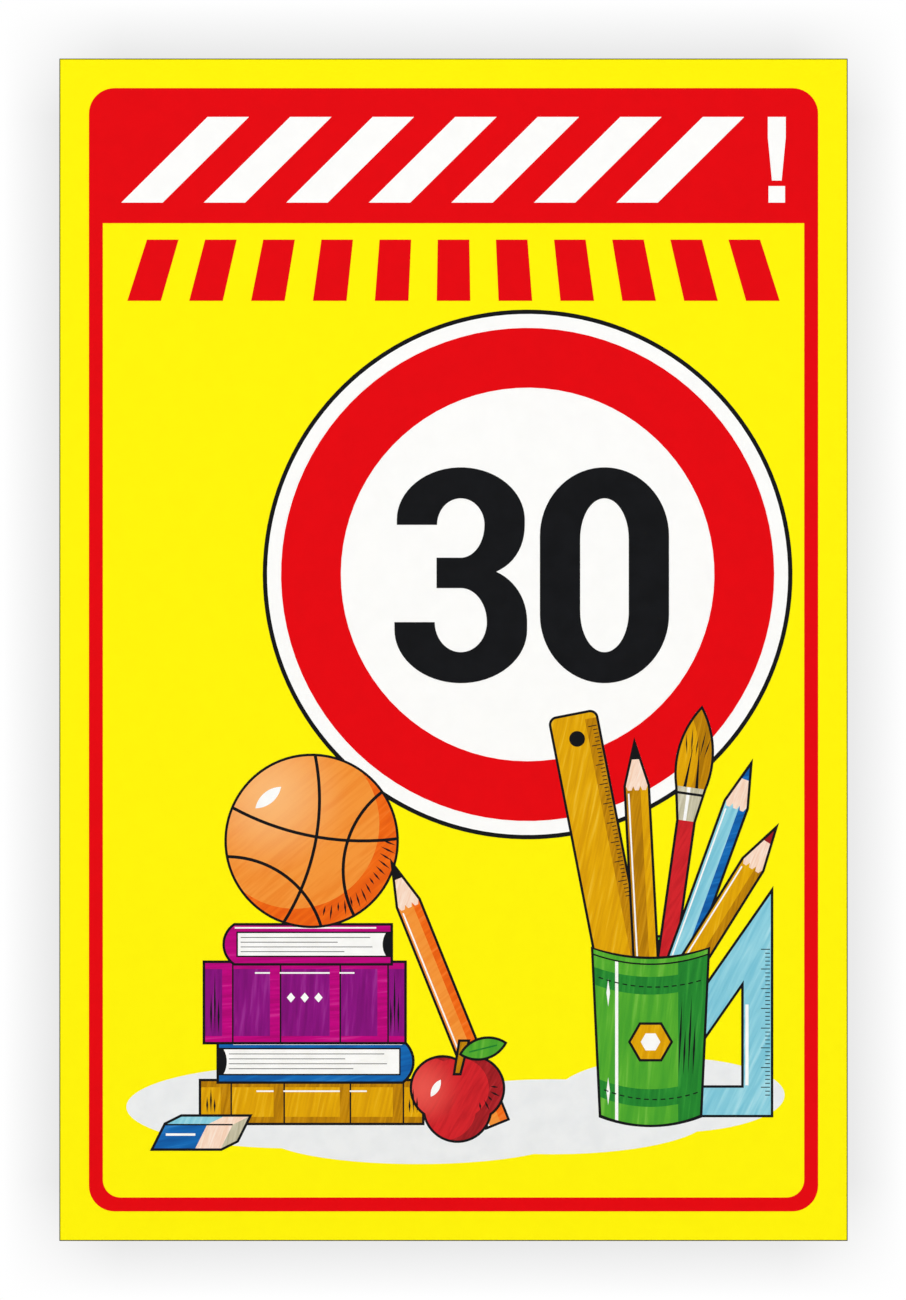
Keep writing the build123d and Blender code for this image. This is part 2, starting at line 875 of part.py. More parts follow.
nodes = {
    "panel": plate(face, 0, panel_thickness),
    "yellow_ground": plate(face, panel_thickness, print_thickness),
}
for ink, plates in printed_plates(motifs).items():
    nodes[ink] = Part() + plates

os.makedirs("parts", exist_ok=True)
for name, solid in nodes.items():
    export_step(solid, f"parts/{name}.step")
    print(name, len(solid.solids()), round(solid.volume, 2))
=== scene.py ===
import math

import bmesh
import bpy
from mathutils import Matrix, Vector


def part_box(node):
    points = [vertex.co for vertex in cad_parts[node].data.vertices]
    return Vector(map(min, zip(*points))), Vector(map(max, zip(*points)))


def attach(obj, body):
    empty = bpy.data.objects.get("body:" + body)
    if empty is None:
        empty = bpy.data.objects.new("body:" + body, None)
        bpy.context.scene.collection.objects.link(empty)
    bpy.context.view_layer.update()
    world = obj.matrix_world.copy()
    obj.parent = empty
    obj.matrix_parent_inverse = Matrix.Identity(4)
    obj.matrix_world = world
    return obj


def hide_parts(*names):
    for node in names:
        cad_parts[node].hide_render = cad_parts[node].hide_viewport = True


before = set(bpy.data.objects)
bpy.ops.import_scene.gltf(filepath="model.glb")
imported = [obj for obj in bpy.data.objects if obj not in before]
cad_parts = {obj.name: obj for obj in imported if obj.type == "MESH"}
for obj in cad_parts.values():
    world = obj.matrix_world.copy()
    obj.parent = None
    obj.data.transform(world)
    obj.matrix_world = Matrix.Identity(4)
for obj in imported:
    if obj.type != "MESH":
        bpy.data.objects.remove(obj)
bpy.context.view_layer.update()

millimetre = 0.001


# The board. The real piece is a sheet of white rigid foam PVC, 3 mm thick, with a dense satin skin
# on both faces. It is cut to size on a panel saw, and the sharp edges are broken with a scraper.

def linear(hex_colour):
    """The linear colour of an sRGB hex value, with full alpha."""
    channels = [int(hex_colour[i:i + 2], 16) / 255 for i in (1, 3, 5)]
    return [c / 12.92 if c <= 0.04045 else ((c + 0.055) / 1.055) ** 2.4 for c in channels] + [1.0]


def node(tree, kind, settings=None, **inputs):
    """Adds a node to a tree, with each input set to a value or linked from another node's socket.

    An input is given by its identifier or its name, with underscores for spaces. One more underscore
    at its end keeps a name apart from the language's own words.
    """
    made = tree.nodes.new(kind)
    for name, value in (settings or {}).items():
        setattr(made, name, value)
    for name, value in inputs.items():
        name = name.rstrip("_")
        socket = next(s for s in made.inputs if name in (s.identifier, s.name.replace(" ", "_")))
        if isinstance(value, bpy.types.NodeSocket):
            tree.links.new(value, socket)
        else:
            socket.default_value = value
    return made


def empty_material(name):
    """A new material with an empty tree and its output node."""
    material = bpy.data.materials.new(name)
    material.use_nodes = True
    material.node_tree.nodes.clear()
    return material, material.node_tree, material.node_tree.nodes.new("ShaderNodeOutputMaterial")


def grain_scale(size_mm):
    """The scale of a texture whose features are this many millimetres across."""
    return 1 / (size_mm * millimetre)


def calendered_pvc_skin():
    """Foam PVC as it leaves the calender: a dull white skin with a leathery grain under 1 mm."""
    material, tree, output = empty_material("foam_pvc_calendered_skin")
    place = node(tree, "ShaderNodeTexCoord")
    pull = node(tree, "ShaderNodeMapping", Scale=(1.0, 1.0, 0.25), Vector=place.outputs["Object"])
    cloud = node(tree, "ShaderNodeTexNoise", Vector=pull.outputs[0], Scale=grain_scale(45), Detail=3.0)
    leather = node(
        tree, "ShaderNodeTexNoise", Vector=place.outputs["Object"], Scale=grain_scale(0.8), Detail=3.0
    )
    tone = node(
        tree, "ShaderNodeMix", {"data_type": "RGBA"}, Factor=cloud.outputs["Fac"],
        A_Color=linear("#F3F3F1"), B_Color=linear("#EAEAE8"),
    )
    rough = node(
        tree, "ShaderNodeMapRange", Value=leather.outputs["Fac"], To_Min=0.42, To_Max=0.56
    )
    relief = node(
        tree, "ShaderNodeBump", Strength=0.35, Distance=0.03 * millimetre, Height=leather.outputs["Fac"]
    )
    skin = node(
        tree, "ShaderNodeBsdfPrincipled", Base_Color=tone.outputs[2], Roughness=rough.outputs[0],
        Specular_IOR_Level=0.3, Normal=relief.outputs[0],
    )
    tree.links.new(skin.outputs[0], output.inputs["Surface"])
    return material


def sawn_pvc_edge():
    """Foam PVC where the saw has cut it: open cells, with blade marks straight through the board."""
    material, tree, output = empty_material("foam_pvc_sawn_edge")
    place = node(tree, "ShaderNodeTexCoord")
    pull = node(tree, "ShaderNodeMapping", Scale=(1.0, 0.04, 1.0), Vector=place.outputs["Object"])
    blade = node(tree, "ShaderNodeTexNoise", Vector=pull.outputs[0], Scale=grain_scale(0.7), Detail=2.0)
    cells = node(
        tree, "ShaderNodeTexVoronoi", Vector=place.outputs["Object"], Scale=grain_scale(0.3)
    )
    height = node(
        tree, "ShaderNodeMath", {"operation": "ADD"}, Value=blade.outputs["Fac"],
        Value_001=cells.outputs["Distance"],
    )
    tone = node(
        tree, "ShaderNodeMix", {"data_type": "RGBA"}, Factor=blade.outputs["Fac"],
        A_Color=linear("#DEDEDB"), B_Color=linear("#F1F1EE"),
    )
    relief = node(
        tree, "ShaderNodeBump", Strength=0.6, Distance=0.08 * millimetre, Height=height.outputs[0]
    )
    cut = node(
        tree, "ShaderNodeBsdfPrincipled", Base_Color=tone.outputs[2], Roughness=0.78,
        Specular_IOR_Level=0.2, Normal=relief.outputs[0],
    )
    tree.links.new(cut.outputs[0], output.inputs["Surface"])
    return material


def sawn_board(low, high, broken_edge):
    """A board between two corners, with its edges broken by a narrow bevel."""
    mesh = bpy.data.meshes.new("board")
    shape = bmesh.new()
    bmesh.ops.create_cube(shape, size=1.0)
    size = high - low
    place = Matrix.Translation((low + high) / 2) @ Matrix.Diagonal((*size, 1.0))
    bmesh.ops.transform(shape, matrix=place, verts=shape.verts)
    bmesh.ops.bevel(
        shape, geom=list(shape.edges), offset=broken_edge, segments=2, profile=0.5, affect="EDGES"
    )
    bmesh.ops.recalc_face_normals(shape, faces=shape.faces)
    for face in shape.faces:
        face.material_index = 0 if abs(face.normal.y) > 0.9 else 1
    shape.to_mesh(mesh)
    shape.free()
    return mesh


board_broken_edge = 0.2 * millimetre
panel_low, panel_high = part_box("panel")
board = bpy.data.objects.new("board", sawn_board(panel_low, panel_high, board_broken_edge))
bpy.context.scene.collection.objects.link(board)
board.data.materials.append(calendered_pvc_skin())
board.data.materials.append(sawn_pvc_edge())
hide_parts("panel")
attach(board, "root")


# The flat colours of the sign. They are UV ink, jetted straight on the board and cured: the yellow
# ground covers the whole face, and the other colours are laid on it in register, coat on coat.

def cured_surface(tree, output, place, tone):
    """The dull sheen of cured UV ink over its fine drops, in the colour that a socket gives."""
    # The drops are drawn 0.4 mm wide, wider than real, so that they show
    drops = node(
        tree, "ShaderNodeTexNoise", Vector=place.outputs["Object"], Scale=grain_scale(0.4), Detail=1.0
    )
    rough = node(tree, "ShaderNodeMapRange", Value=drops.outputs["Fac"], To_Min=0.32, To_Max=0.46)
    relief = node(
        tree, "ShaderNodeBump", Strength=0.18, Distance=0.01 * millimetre, Height=drops.outputs["Fac"]
    )
    ink = node(
        tree, "ShaderNodeBsdfPrincipled", Base_Color=tone, Roughness=rough.outputs[0],
        IOR=1.5, Specular_IOR_Level=0.055, Normal=relief.outputs[0],
    )
    tree.links.new(ink.outputs[0], output.inputs["Surface"])


def jetted_ink(name, colour, deep, mottle):
    """Cured UV ink in a flat field, whose colour deepens a little in clouds of about 9 mm."""
    material, tree, output = empty_material(name)
    place = node(tree, "ShaderNodeTexCoord")
    cloud = node(
        tree, "ShaderNodeTexNoise", Vector=place.outputs["Object"], Scale=grain_scale(9), Detail=3.0
    )
    amount = node(
        tree, "ShaderNodeMapRange", Value=cloud.outputs["Fac"], From_Min=0.35, From_Max=0.7,
        To_Min=0.0, To_Max=mottle,
    )
    tone = node(
        tree, "ShaderNodeMix", {"data_type": "RGBA"}, Factor=amount.outputs[0],
        A_Color=linear(colour), B_Color=linear(deep),
    )
    cured_surface(tree, output, place, tone.outputs[2])
    return material


def finish_in(material, *names):
    """Gives one material to CAD nodes."""
    for name in names:
        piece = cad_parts[name]
        piece.data.materials.clear()
        piece.data.materials.append(material)


finish_in(jetted_ink("jetted_yellow_ink", "#FFF400", "#FDF000", 0.4), "yellow_ground")
finish_in(jetted_ink("jetted_red_ink", "#E5000A", "#DC0009", 0.4), "red_print", "crossing_bars")
finish_in(jetted_ink("jetted_white_ink", "#FCFCFB", "#F6F6F5", 0.4), "title_marks", "exclamation_mark")
finish_in(jetted_ink("jetted_disc_white_ink", "#FCFCFB", "#F6F6F5", 0.4), "roundel_disc")
finish_in(jetted_ink("jetted_black_ink", "#131417", "#0C0D0F", 0.6), "roundel_black", "edge_line")
finish_in(jetted_ink("jetted_pale_grey_ink", "#ECEEF0", "#E2E5E8", 0.6), "ground_patch")


# The picture. It is the same ink, but its colours were drawn as broad marker strokes: each has
# streaks of a deeper tone that run one way, and a lighter tone where the thing catches the light.

def marker_ink(name, colour, deep, light, turn, stroke_mm, lit_place=None, lit_reach_mm=30.0):
    """Cured ink in marker strokes. The strokes run at a turn from level, as long and wide as given.

    Where a lit place is given, as x and z in metres, the light tone fades out from there.
    """
    material, tree, output = empty_material(name)
    length, width = stroke_mm
    place = node(tree, "ShaderNodeTexCoord")
    turned = node(
        tree, "ShaderNodeMapping", Rotation=(0.0, math.radians(turn), 0.0),
        Vector=place.outputs["Object"],
    )
    drawn_out = node(
        tree, "ShaderNodeMapping", Scale=(width / length, 1.0, 1.0), Vector=turned.outputs[0]
    )
    streak = node(
        tree, "ShaderNodeTexNoise", Vector=drawn_out.outputs[0], Scale=grain_scale(width), Detail=2.0,
        Distortion=0.3,
    )
    amount = node(
        tree, "ShaderNodeMapRange", Value=streak.outputs["Fac"], From_Min=0.42, From_Max=0.66,
        To_Min=0.0, To_Max=0.75,
    )
    tone = node(
        tree, "ShaderNodeMix", {"data_type": "RGBA"}, Factor=amount.outputs[0],
        A_Color=linear(colour), B_Color=linear(deep),
    ).outputs[2]
    if lit_place:
        level = node(
            tree, "ShaderNodeVectorMath", {"operation": "MULTIPLY"}, Vector=place.outputs["Object"],
            Vector_001=(1.0, 0.0, 1.0),
        )
        far = node(
            tree, "ShaderNodeVectorMath", {"operation": "DISTANCE"}, Vector=level.outputs["Vector"],
            Vector_001=(lit_place[0], 0.0, lit_place[1]),
        )
        glow = node(
            tree, "ShaderNodeMapRange", {"interpolation_type": "SMOOTHSTEP"}, Value=far.outputs["Value"],
            From_Min=0.0, From_Max=lit_reach_mm * millimetre, To_Min=0.85, To_Max=0.0,
        )
    else:
        glow = node(
            tree, "ShaderNodeMapRange", Value=streak.outputs["Fac"], From_Min=0.42, From_Max=0.25,
            To_Min=0.0, To_Max=0.6,
        )
    tone = node(
        tree, "ShaderNodeMix", {"data_type": "RGBA"}, Factor=glow.outputs[0],
        A_Color=tone, B_Color=linear(light),
    ).outputs[2]
    cured_surface(tree, output, place, tone)
    return material


pen_ink = jetted_ink("jetted_outline_ink", "#131417", "#0C0D0F", 0.6)
gleam_ink = jetted_ink("jetted_highlight_ink", "#FCFCFB", "#EFEFEC", 0.6)
finish_in(pen_ink, "picture_black")
finish_in(gleam_ink, "picture_white")

# Each as its name, the CAD node, its tone, deep tone and light tone, and its strokes: their turn
# from level in degrees, and their length and width in millimetres
marker_inks = [
    ("blue", "picture_blue", "#1269B5", "#0C4F96", "#3C8CD0", 12, (26, 2.2)),
    ("light_blue", "picture_light_blue", "#8FD0E0", "#6DBBD2", "#B6E4EE", 64, (30, 2.4)),
    ("light_green", "picture_light_green", "#55AB2E", "#3E9A2B", "#7CC44A", 84, (34, 2.6)),
    ("green", "picture_green", "#26892F", "#1B7429", "#3FA03C", 84, (28, 2.0)),
    ("gold", "picture_gold", "#E2A800", "#CF9200", "#F2C53A", 78, (30, 1.8)),
    ("brown", "picture_brown", "#C08400", "#9E6A00", "#D29A18", 78, (24, 1.4)),
    ("beige", "picture_beige", "#F8DCC8", "#F0C6AA", "#FDEDE2", 70, (10, 1.0)),
    ("dark_red", "picture_red", "#A51E24", "#8A161C", "#BC2E33", 60, (12, 1.4)),
    ("purple", "picture_purple", "#8B1080", "#730A6B", "#A63A9C", 86, (30, 2.4)),
    ("magenta", "picture_magenta", "#C1007F", "#A5006C", "#D63C9B", 4, (30, 1.8)),
    ("deep_orange", "picture_deep_orange", "#F06A10", "#E0560A", "#F58A3A", 40, (24, 2.0)),
    ("stone", "picture_grey", "#C8C2A8", "#AAA488", "#E4E0CE", 80, (16, 1.0)),
]
for name, cad_node, colour, deep, light, turn, stroke_mm in marker_inks:
    finish_in(marker_ink(f"marker_{name}_ink", colour, deep, light, turn, stroke_mm), cad_node)

# The ball is at the left end and the top of the orange fields, and the apple is at the left end
# and the foot of the bright red ones
ball_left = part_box("picture_orange")[0].x
ball_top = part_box("picture_orange")[1].z
ball_light = (ball_left + 22 * millimetre, ball_top - 20 * millimetre)
ball_light_reach = 44
finish_in(
    marker_ink(
        "marker_orange_ink", "#F39539", "#EC8226", "#FBBE7C", 40, (30, 2.2), ball_light,
        ball_light_reach,
    ),
    "picture_orange",
)
apple_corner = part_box("picture_bright_red")[0]
apple_light = (apple_corner.x + 5 * millimetre, apple_corner.z + 26 * millimetre)
apple_light_reach = 22
finish_in(
    marker_ink(
        "marker_bright_red_ink", "#D2232A", "#B91A22", "#EC5A50", 60, (14, 1.8), apple_light,
        apple_light_reach,
    ),
    "picture_bright_red",
)


# The marks of the ruler and the set square. They are fine strokes of black ink at an even pitch,
# each fifth one longer, printed over the colours with all the other pen work of the picture.

def stroke_row_tree():
    """A tree for a row of pen strokes. The row starts upwards, and its strokes reach to the right.

    Bend turns each stroke from the one before it, so that the row follows an arc. Turns are in
    radians, anticlockwise as the viewer sees the face.
    """
    tree = bpy.data.node_groups.new("stroke_row", "GeometryNodeTree")
    tree.interface.new_socket("Geometry", in_out="OUTPUT", socket_type="NodeSocketGeometry")
    for name, kind in (
        ("Strokes", "Int"),
        ("Pitch", "Float"),
        ("Bend", "Float"),
        ("Length", "Float"),
        ("Long Length", "Float"),
        ("Long Every", "Int"),
        ("Unevenness", "Float"),
        ("Slant", "Float"),
        ("Width", "Float"),
        ("Depth", "Float"),
        ("Tapered", "Bool"),
        ("Ink", "Material"),
    ):
        tree.interface.new_socket(name, in_out="INPUT", socket_type="NodeSocket" + kind)
    given = tree.nodes.new("NodeGroupInput").outputs
    number = node(tree, "GeometryNodeInputIndex").outputs[0]

    # Where each stroke stands: a step of one pitch, turned by the bend so far, after the one before
    turned = node(
        tree, "ShaderNodeMath", {"operation": "MULTIPLY"}, Value=number, Value_001=given["Bend"]
    )
    across = node(tree, "ShaderNodeMath", {"operation": "SINE"}, Value=turned.outputs[0])
    along = node(tree, "ShaderNodeMath", {"operation": "COSINE"}, Value=turned.outputs[0])
    heading = node(tree, "ShaderNodeCombineXYZ", X=across.outputs[0], Z=along.outputs[0])
    mirrored = node(
        tree, "ShaderNodeVectorMath", {"operation": "MULTIPLY"}, Vector=heading.outputs[0],
        Vector_001=(-1.0, 1.0, 1.0),
    )
    step = node(
        tree, "ShaderNodeVectorMath", {"operation": "SCALE"}, Vector=mirrored.outputs[0],
        Scale=given["Pitch"],
    )
    so_far = node(
        tree, "GeometryNodeAccumulateField", {"data_type": "FLOAT_VECTOR"}, Value=step.outputs[0]
    )
    line = node(tree, "GeometryNodeMeshLine", Count=given["Strokes"], Offset=(0.0, 0.0, 0.0))
    row = node(
        tree, "GeometryNodeSetPosition", Geometry=line.outputs[0], Position=so_far.outputs["Trailing"]
    )

    # How long it is: each so many a long one, and an uneven row drops part of each at random
    place_in_turn = node(
        tree, "FunctionNodeIntegerMath", {"operation": "MODULO"}, Value=number,
        Value_001=given["Long Every"],
    )
    is_long = node(
        tree, "FunctionNodeCompare", {"data_type": "INT", "operation": "EQUAL"},
        A_INT=place_in_turn.outputs[0], B_INT=0,
    )
    full = node(
        tree, "GeometryNodeSwitch", {"input_type": "FLOAT"}, Switch=is_long.outputs[0],
        False_=given["Length"], True_=given["Long Length"],
    )
    chance = node(
        tree, "FunctionNodeRandomValue", {"data_type": "FLOAT"}, Min_001=0.0, Max_001=1.0, ID=number,
        Seed=4,
    )
    dropped = node(
        tree, "ShaderNodeMath", {"operation": "MULTIPLY"}, Value=chance.outputs[1],
        Value_001=given["Unevenness"],
    )
    share = node(
        tree, "ShaderNodeMath", {"operation": "SUBTRACT"}, Value=1.0, Value_001=dropped.outputs[0]
    )
    length = node(
        tree, "ShaderNodeMath", {"operation": "MULTIPLY"}, Value=full.outputs[0],
        Value_001=share.outputs[0],
    )

    # The stroke itself: a bar, or a lozenge that is drawn to a point at both ends
    bar = node(tree, "GeometryNodeMeshCube", Size=(1.0, 1.0, 1.0))
    prism = node(tree, "GeometryNodeMeshCylinder", Vertices=4, Radius=0.5, Depth=1.0)
    lozenge = node(
        tree, "GeometryNodeTransform", Geometry=prism.outputs[0], Rotation=(math.radians(90), 0.0, 0.0)
    )
    shape = node(
        tree, "GeometryNodeSwitch", {"input_type": "GEOMETRY"}, Switch=given["Tapered"],
        False_=bar.outputs[0], True_=lozenge.outputs[0],
    )
    from_its_end = node(
        tree, "GeometryNodeTransform", Geometry=shape.outputs[0], Translation=(0.5, 0.0, 0.0)
    )
    lean = node(
        tree, "ShaderNodeMath", {"operation": "ADD"}, Value=turned.outputs[0],
        Value_001=given["Slant"],
    )
    about_y = node(
        tree, "ShaderNodeMath", {"operation": "MULTIPLY"}, Value=lean.outputs[0], Value_001=-1.0
    )
    turn = node(tree, "ShaderNodeCombineXYZ", Y=about_y.outputs[0])
    size = node(
        tree, "ShaderNodeCombineXYZ", X=length.outputs[0], Y=given["Depth"], Z=given["Width"]
    )
    strokes = node(
        tree, "GeometryNodeInstanceOnPoints", Points=row.outputs[0], Instance=from_its_end.outputs[0],
        Rotation=turn.outputs[0], Scale=size.outputs[0],
    )
    real = node(tree, "GeometryNodeRealizeInstances", Geometry=strokes.outputs[0])
    inked = node(tree, "GeometryNodeSetMaterial", Geometry=real.outputs[0], Material=given["Ink"])
    result = tree.nodes.new("NodeGroupOutput")
    tree.links.new(inked.outputs[0], result.inputs[0])
    return tree


row_tree = stroke_row_tree()
ground_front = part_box("yellow_ground")[0].y
colour_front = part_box("picture_blue")[0].y
stroke_proud = 0.02 * millimetre
stroke_depth = ground_front - colour_front + stroke_proud
stroke_middle = ground_front - stroke_depth / 2


def at(x, z, turn=0.0):
    """A place on the face in millimetres, turned anticlockwise in degrees as the viewer sees it."""
    there = Matrix.Translation((x * millimetre, 0.0, z * millimetre))
    return there @ Matrix.Rotation(math.radians(-turn), 4, "Y")


def stroke_row(
    place, strokes, pitch, length, width, long_length=None, long_every=5, bend_radius=None,
    unevenness=0.0, slant=0.0, tapered=False, ink=pen_ink,
):
    """The mesh of one row of strokes with its start at a place. Sizes are in millimetres.

    A row with a bend radius turns anticlockwise, its strokes on the outside of the arc.
    """
    sizes = {
        "Strokes": strokes,
        "Pitch": pitch * millimetre,
        "Bend": pitch / bend_radius if bend_radius else 0.0,
        "Length": length * millimetre,
        "Long Length": (long_length or length) * millimetre,
        "Long Every": long_every,
        "Unevenness": unevenness,
        "Slant": math.radians(slant),
        "Width": width * millimetre,
        "Depth": stroke_depth,
        "Tapered": tapered,
        "Ink": ink,
    }
    holder = bpy.data.objects.new("row", bpy.data.meshes.new("row"))
    bpy.context.scene.collection.objects.link(holder)
    rows = holder.modifiers.new("rows", "NODES")
    rows.node_group = row_tree
    for socket in row_tree.interface.items_tree:
        if socket.in_out == "INPUT":
            rows[socket.identifier] = sizes[socket.name]
    seen = holder.evaluated_get(bpy.context.evaluated_depsgraph_get())
    mesh = bpy.data.meshes.new_from_object(seen)
    bpy.data.objects.remove(holder)
    mesh.transform(Matrix.Translation((0.0, stroke_middle, 0.0)) @ place)
    return mesh


def pen_work(name, rows, ink=pen_ink):
    """One piece made of several rows in the same ink."""
    shape = bmesh.new()
    for row in rows:
        shape.from_mesh(row)
        bpy.data.meshes.remove(row)
    mesh = bpy.data.meshes.new(name)
    shape.to_mesh(mesh)
    shape.free()
    mesh.materials.append(ink)
    piece = bpy.data.objects.new(name, mesh)
    bpy.context.scene.collection.objects.link(piece)
    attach(piece, "root")


# The places of the picture's things are the CAD's, in millimetres from the middle of the sign
pot_middle = 100.0
pot_foot = -236.0
pot_mouth = -165.0
ruler_lean = 11.0
ruler_foot = at(pot_middle - 14.0, pot_mouth, ruler_lean)
ruler_edge = 11.1
ruler_first_mark = 127.0
square_edge = pot_middle + 60.6
square_first_mark = pot_foot + 84.0
mark_pitch = 2.0
mark_width = 0.45
downwards = 180.0

ruler_marks = stroke_row(
    ruler_foot @ at(ruler_edge, ruler_first_mark, downwards), strokes=45, pitch=mark_pitch,
    length=2.2, width=mark_width, long_length=4.4,
)
square_marks = stroke_row(
    at(square_edge, square_first_mark, downwards), strokes=38, pitch=mark_pitch, length=2.4,
    width=mark_width, long_length=4.6,
)
pen_work("measuring_marks", [ruler_marks, square_marks])


# The edges of the pages. Thin black pen lines of uneven length run along the white page blocks of
# the two books that lie with their spines to the side.

page_line = {"strokes": 4, "width": 0.35, "unevenness": 0.35}
stack_left = -128.0
blue_book_pages = stroke_row(at(stack_left + 14.0, -212.6), pitch=2.5, length=84.0, **page_line)
top_book_pages = stroke_row(at(stack_left + 20.0, -153.2), pitch=2.4, length=70.0, **page_line)
pen_work("page_edges", [blue_book_pages, top_book_pages])


# The stitches round the pencil pot. A row of short black dashes follows each dark band, with the
# sag of the band as it goes round.

pot_base_half = 25.0
pot_rim_half = 29.0
pot_height = 84.0
pot_sag = 5.0
stitch_levels = (13.5, 70.5)
stitch_end_gap = 2.0


def round_row(centre, radius, first, last, pitch, **sizes):
    """A row of strokes on an arc about a centre, from one angle to another, in degrees."""
    strokes = 1 + int(math.radians(last - first) * radius / pitch)
    start = centre @ at(0.0, 0.0, first) @ at(radius, 0.0)
    return stroke_row(start, strokes, pitch, bend_radius=radius, **sizes)


def stitched_band(level):
    """A row of stitches round the pot at a height above its base."""
    half = pot_base_half + (pot_rim_half - pot_base_half) * level / pot_height
    radius = (half**2 + pot_sag**2) / (2 * pot_sag)
    reach = math.degrees(math.asin((half - stitch_end_gap) / radius))
    centre = at(pot_middle, pot_foot + level - pot_sag + radius)
    return round_row(
        centre, radius, first=-90.0 - reach, last=-90.0 + reach, pitch=4.2, length=2.4, width=0.6,
        slant=90.0,
    )


pen_work("stitches", [stitched_band(level) for level in stitch_levels])


# The hatching. Tapered pen strokes darken the sides away from the light: the pot's flank, the rims
# of the ball and the apple, the ends of the two spines, and the hairs of the brush.

hatch = {"width": 1.0, "unevenness": 0.55, "tapered": True}
fine_hatch = {"width": 0.7, "unevenness": 0.4, "tapered": True}
ball_middle = at(stack_left + 56.0, -97.0)
ball_hatch_radius = 33.5
apple_lobe = at(stack_left + 137.5, -222.5)
apple_hatch_radius = 8.0
brush_lean = -8.0
brush_foot = at(pot_middle + 7.0, pot_mouth, brush_lean)
tuft_middle = brush_foot @ at(0.0, 88.0)
tuft_hatch_radius = 24.0
pot_flank_turn = 87.3
pot_flank = at(pot_middle + 21.4, pot_foot + 20.0, pot_flank_turn)
# A row with this turn has upright strokes and runs to the left, or to the right if its pitch is
# below nought
leftwards = 90.0
# Each spine as (left and right end from the stack's left, foot, stroke length)
spines = [(5.0, 100.0, -195.0, 34.0), (3.0, 109.5, -235.0, 13.5)]

hatching = [
    stroke_row(pot_flank, strokes=4, pitch=2.4, length=44.0, **hatch),
    round_row(
        ball_middle, ball_hatch_radius, first=-78.0, last=6.0, pitch=3.4, length=9.0, slant=-24.0,
        **hatch,
    ),
    round_row(
        apple_lobe, apple_hatch_radius, first=-62.0, last=30.0, pitch=2.6, length=6.5, slant=-20.0,
        **hatch,
    ),
    round_row(
        tuft_middle, tuft_hatch_radius, first=79.0, last=101.0, pitch=2.2, length=15.0, **fine_hatch
    ),
]
for left, right, foot, length in spines:
    for end, pitch in ((left, -1.9), (right, 1.9)):
        start = at(stack_left + end, foot, leftwards)
        hatching.append(stroke_row(start, strokes=3, pitch=pitch, length=length, **hatch))
pen_work("hatching", hatching)


# The gleams. White ink in a few short strokes catches the light on the pot and the eraser, and a
# row of three white lozenges is the ornament of the purple spine.

gleam = {"tapered": True, "ink": gleam_ink}
pot_gleams = stroke_row(
    at(pot_middle - 22.4, pot_foot + 12.0), strokes=2, pitch=50.0, length=1.8, width=14.0, **gleam
)
spine_ornament = stroke_row(
    at(stack_left + 45.5, -179.0, leftwards), strokes=3, pitch=-7.0, length=5.0, width=4.2, **gleam
)
eraser_gleam = stroke_row(
    at(stack_left - 18.0, -246.0), strokes=1, pitch=1.0, length=15.0, width=1.2, ink=gleam_ink
)
pen_work("gleams", [pot_gleams, spine_ornament, eraser_gleam], gleam_ink)


# The wall and the floor. The wall is smooth and white, right behind the sign, with a soft grey
# shadow of the sign painted round it. Neither is part of the object, and only the camera sees the wall.

# How far the painted shadow reaches either side of the sign's edge
painted_shadow_reach = 29.4 * millimetre
wall_gap = 1.0 * millimetre
wall_half = 4.0


def upright_sheet(name, half, y):
    """A square sheet that faces the viewer, at a distance along Y."""
    mesh = bpy.data.meshes.new(name)
    mesh.from_pydata(
        [(-half, y, -half), (half, y, -half), (half, y, half), (-half, y, half)], [], [(0, 1, 2, 3)]
    )
    sheet = bpy.data.objects.new(name, mesh)
    bpy.context.scene.collection.objects.link(sheet)
    return sheet


def wall_paint_with_painted_shadow():
    """White wall paint that shows as it is written, with a soft grey shadow painted round the sign's
    outline.
    """
    material, tree, output = empty_material("white_wall_paint")
    place = node(tree, "ShaderNodeTexCoord")
    parts = node(tree, "ShaderNodeSeparateXYZ", Vector=place.outputs["Object"])
    # For each axis, a ramp of painted shadow across the sign's edge, full inside and gone outside
    painted_shadow_ramps = []
    half_size = (panel_high - panel_low) / 2
    for axis, half in (("X", half_size.x), ("Z", half_size.z)):
        off = node(tree, "ShaderNodeMath", {"operation": "ABSOLUTE"}, Value=parts.outputs[axis])
        painted_shadow_ramps.append(
            node(
                tree, "ShaderNodeMapRange", Value=off.outputs[0], From_Min=half - painted_shadow_reach,
                From_Max=half + painted_shadow_reach, To_Min=1.0, To_Max=0.0,
            )
        )
    # The painted shadow's depth, which turns the white paint to grey round the sign
    painted_shadow_depth = node(
        tree, "ShaderNodeMath", {"operation": "MULTIPLY"}, Value=painted_shadow_ramps[0].outputs[0],
        Value_001=painted_shadow_ramps[1].outputs[0],
    )
    tone = node(
        tree, "ShaderNodeMix", {"data_type": "RGBA"}, Factor=painted_shadow_depth.outputs[0],
        A_Color=linear("#FFFFFF"), B_Color=linear("#CDCDCD"),
    )
    paint = node(tree, "ShaderNodeEmission", Color=tone.outputs[2], Strength=1.0)
    clear = node(tree, "ShaderNodeBsdfTransparent")
    side = node(tree, "ShaderNodeNewGeometry")
    seen = node(
        tree, "ShaderNodeMixShader", Fac=side.outputs["Backfacing"], Shader=paint.outputs[0],
        Shader_001=clear.outputs[0],
    )
    tree.links.new(seen.outputs[0], output.inputs["Surface"])
    return material


wall = upright_sheet("wall", wall_half, panel_high.y + wall_gap)
wall.data.materials.append(wall_paint_with_painted_shadow())
wall.visible_diffuse = False
wall.visible_glossy = False
wall.visible_transmission = False
wall.visible_shadow = False

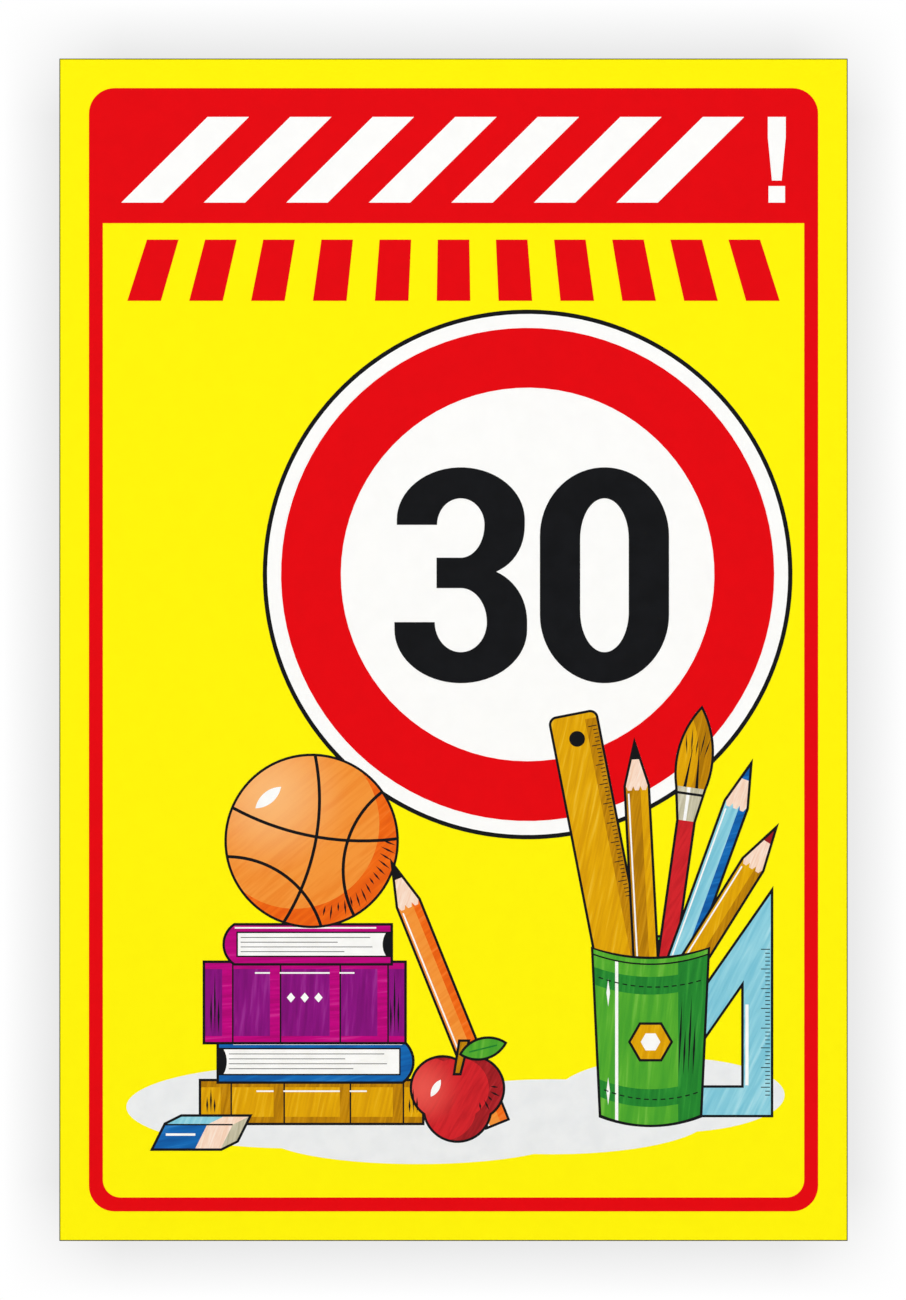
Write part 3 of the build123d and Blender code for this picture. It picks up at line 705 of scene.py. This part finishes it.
floor_level = -0.40
floor_half = 6.0
floor_mesh = bpy.data.meshes.new("floor")
floor_mesh.from_pydata(
    [
        (-floor_half, -floor_half, floor_level),
        (floor_half, -floor_half, floor_level),
        (floor_half, floor_half, floor_level),
        (-floor_half, floor_half, floor_level),
    ],
    [],
    [(0, 1, 2, 3)],
)
floor = bpy.data.objects.new("floor", floor_mesh)
bpy.context.scene.collection.objects.link(floor)
floor_paint, floor_tree, floor_output = empty_material("pale_matt_floor")
floor_place = node(floor_tree, "ShaderNodeTexCoord")
floor_cloud = node(
    floor_tree, "ShaderNodeTexNoise", Vector=floor_place.outputs["Object"], Scale=grain_scale(400),
    Detail=2.0,
)
floor_tone = node(
    floor_tree, "ShaderNodeMix", {"data_type": "RGBA"}, Factor=floor_cloud.outputs["Fac"],
    A_Color=linear("#F6F6F5"), B_Color=linear("#F1F1F0"),
)
floor_cover = node(
    floor_tree, "ShaderNodeBsdfDiffuse", Color=floor_tone.outputs[2], Roughness=0.5
)
floor_tree.links.new(floor_cover.outputs[0], floor_output.inputs["Surface"])
floor.data.materials.append(floor_paint)


# The light. A large white surround lights the face evenly, and two soft boxes, in front on the left
# and behind on the right, give the ink its sheen and the edges their shape.

surround_strength = 0.955
world = bpy.data.worlds.new("white_surround")
bpy.context.scene.world = world
world.use_nodes = True
sky_tree = world.node_tree
sky_tree.nodes.clear()
sky_output = sky_tree.nodes.new("ShaderNodeOutputWorld")
surround = node(sky_tree, "ShaderNodeBackground", Color=linear("#FFFFFF"), Strength=surround_strength)
backdrop = node(sky_tree, "ShaderNodeBackground", Color=linear("#FFFFFF"), Strength=1.0)
ray = node(sky_tree, "ShaderNodeLightPath")
glossy_or_camera = node(
    sky_tree, "ShaderNodeMath", {"operation": "MAXIMUM"}, Value=ray.outputs["Is Camera Ray"],
    Value_001=ray.outputs["Is Glossy Ray"],
)
shown = node(
    sky_tree, "ShaderNodeMath", {"operation": "MAXIMUM"}, Value=glossy_or_camera.outputs[0],
    Value_001=ray.outputs["Is Transmission Ray"],
)
sky = node(
    sky_tree, "ShaderNodeMixShader", Fac=shown.outputs[0], Shader=surround.outputs[0],
    Shader_001=backdrop.outputs[0],
)
sky_tree.links.new(sky.outputs[0], sky_output.inputs["Surface"])


def soft_box(name, place, size, watts):
    """A square area lamp at a place, turned to the sign's middle."""
    lamp = bpy.data.lights.new(name, "AREA")
    lamp.shape = "SQUARE"
    lamp.size = size
    lamp.energy = watts
    box = bpy.data.objects.new(name, lamp)
    bpy.context.scene.collection.objects.link(box)
    box.location = place
    box.rotation_euler = (-Vector(place)).to_track_quat("-Z", "Y").to_euler()


soft_box("soft_box_front", (-2.2, -3.4, 2.6), 1.6, 24.0)
soft_box("soft_box_back", (2.4, 3.2, 2.4), 1.6, 24.0)


# The camera stands square in front of the sign. The sign is 600 mm high and takes 1182 of the
# photograph's 1300 pixels, half a pixel right of its middle and a quarter above it.

photo_height = 1300
sign_pixels = 1182.25
off_centre = (0.5, 0.25)
metres_per_pixel = (panel_high.z - panel_low.z) / sign_pixels
camera_data = bpy.data.cameras.new("camera")
camera_data.lens = 85.0
camera_data.sensor_width = 36.0
camera_data.dof.use_dof = False
camera = bpy.data.objects.new("camera", camera_data)
bpy.context.scene.collection.objects.link(camera)
view_height = photo_height * metres_per_pixel
distance = view_height / 2 / (camera_data.sensor_width / 2 / camera_data.lens)
camera.location = (
    -off_centre[0] * metres_per_pixel,
    ground_front - distance,
    -off_centre[1] * metres_per_pixel,
)
camera.rotation_euler = (math.radians(90), 0.0, 0.0)
bpy.context.scene.camera = camera
bpy.context.scene.view_settings.view_transform = "Standard"
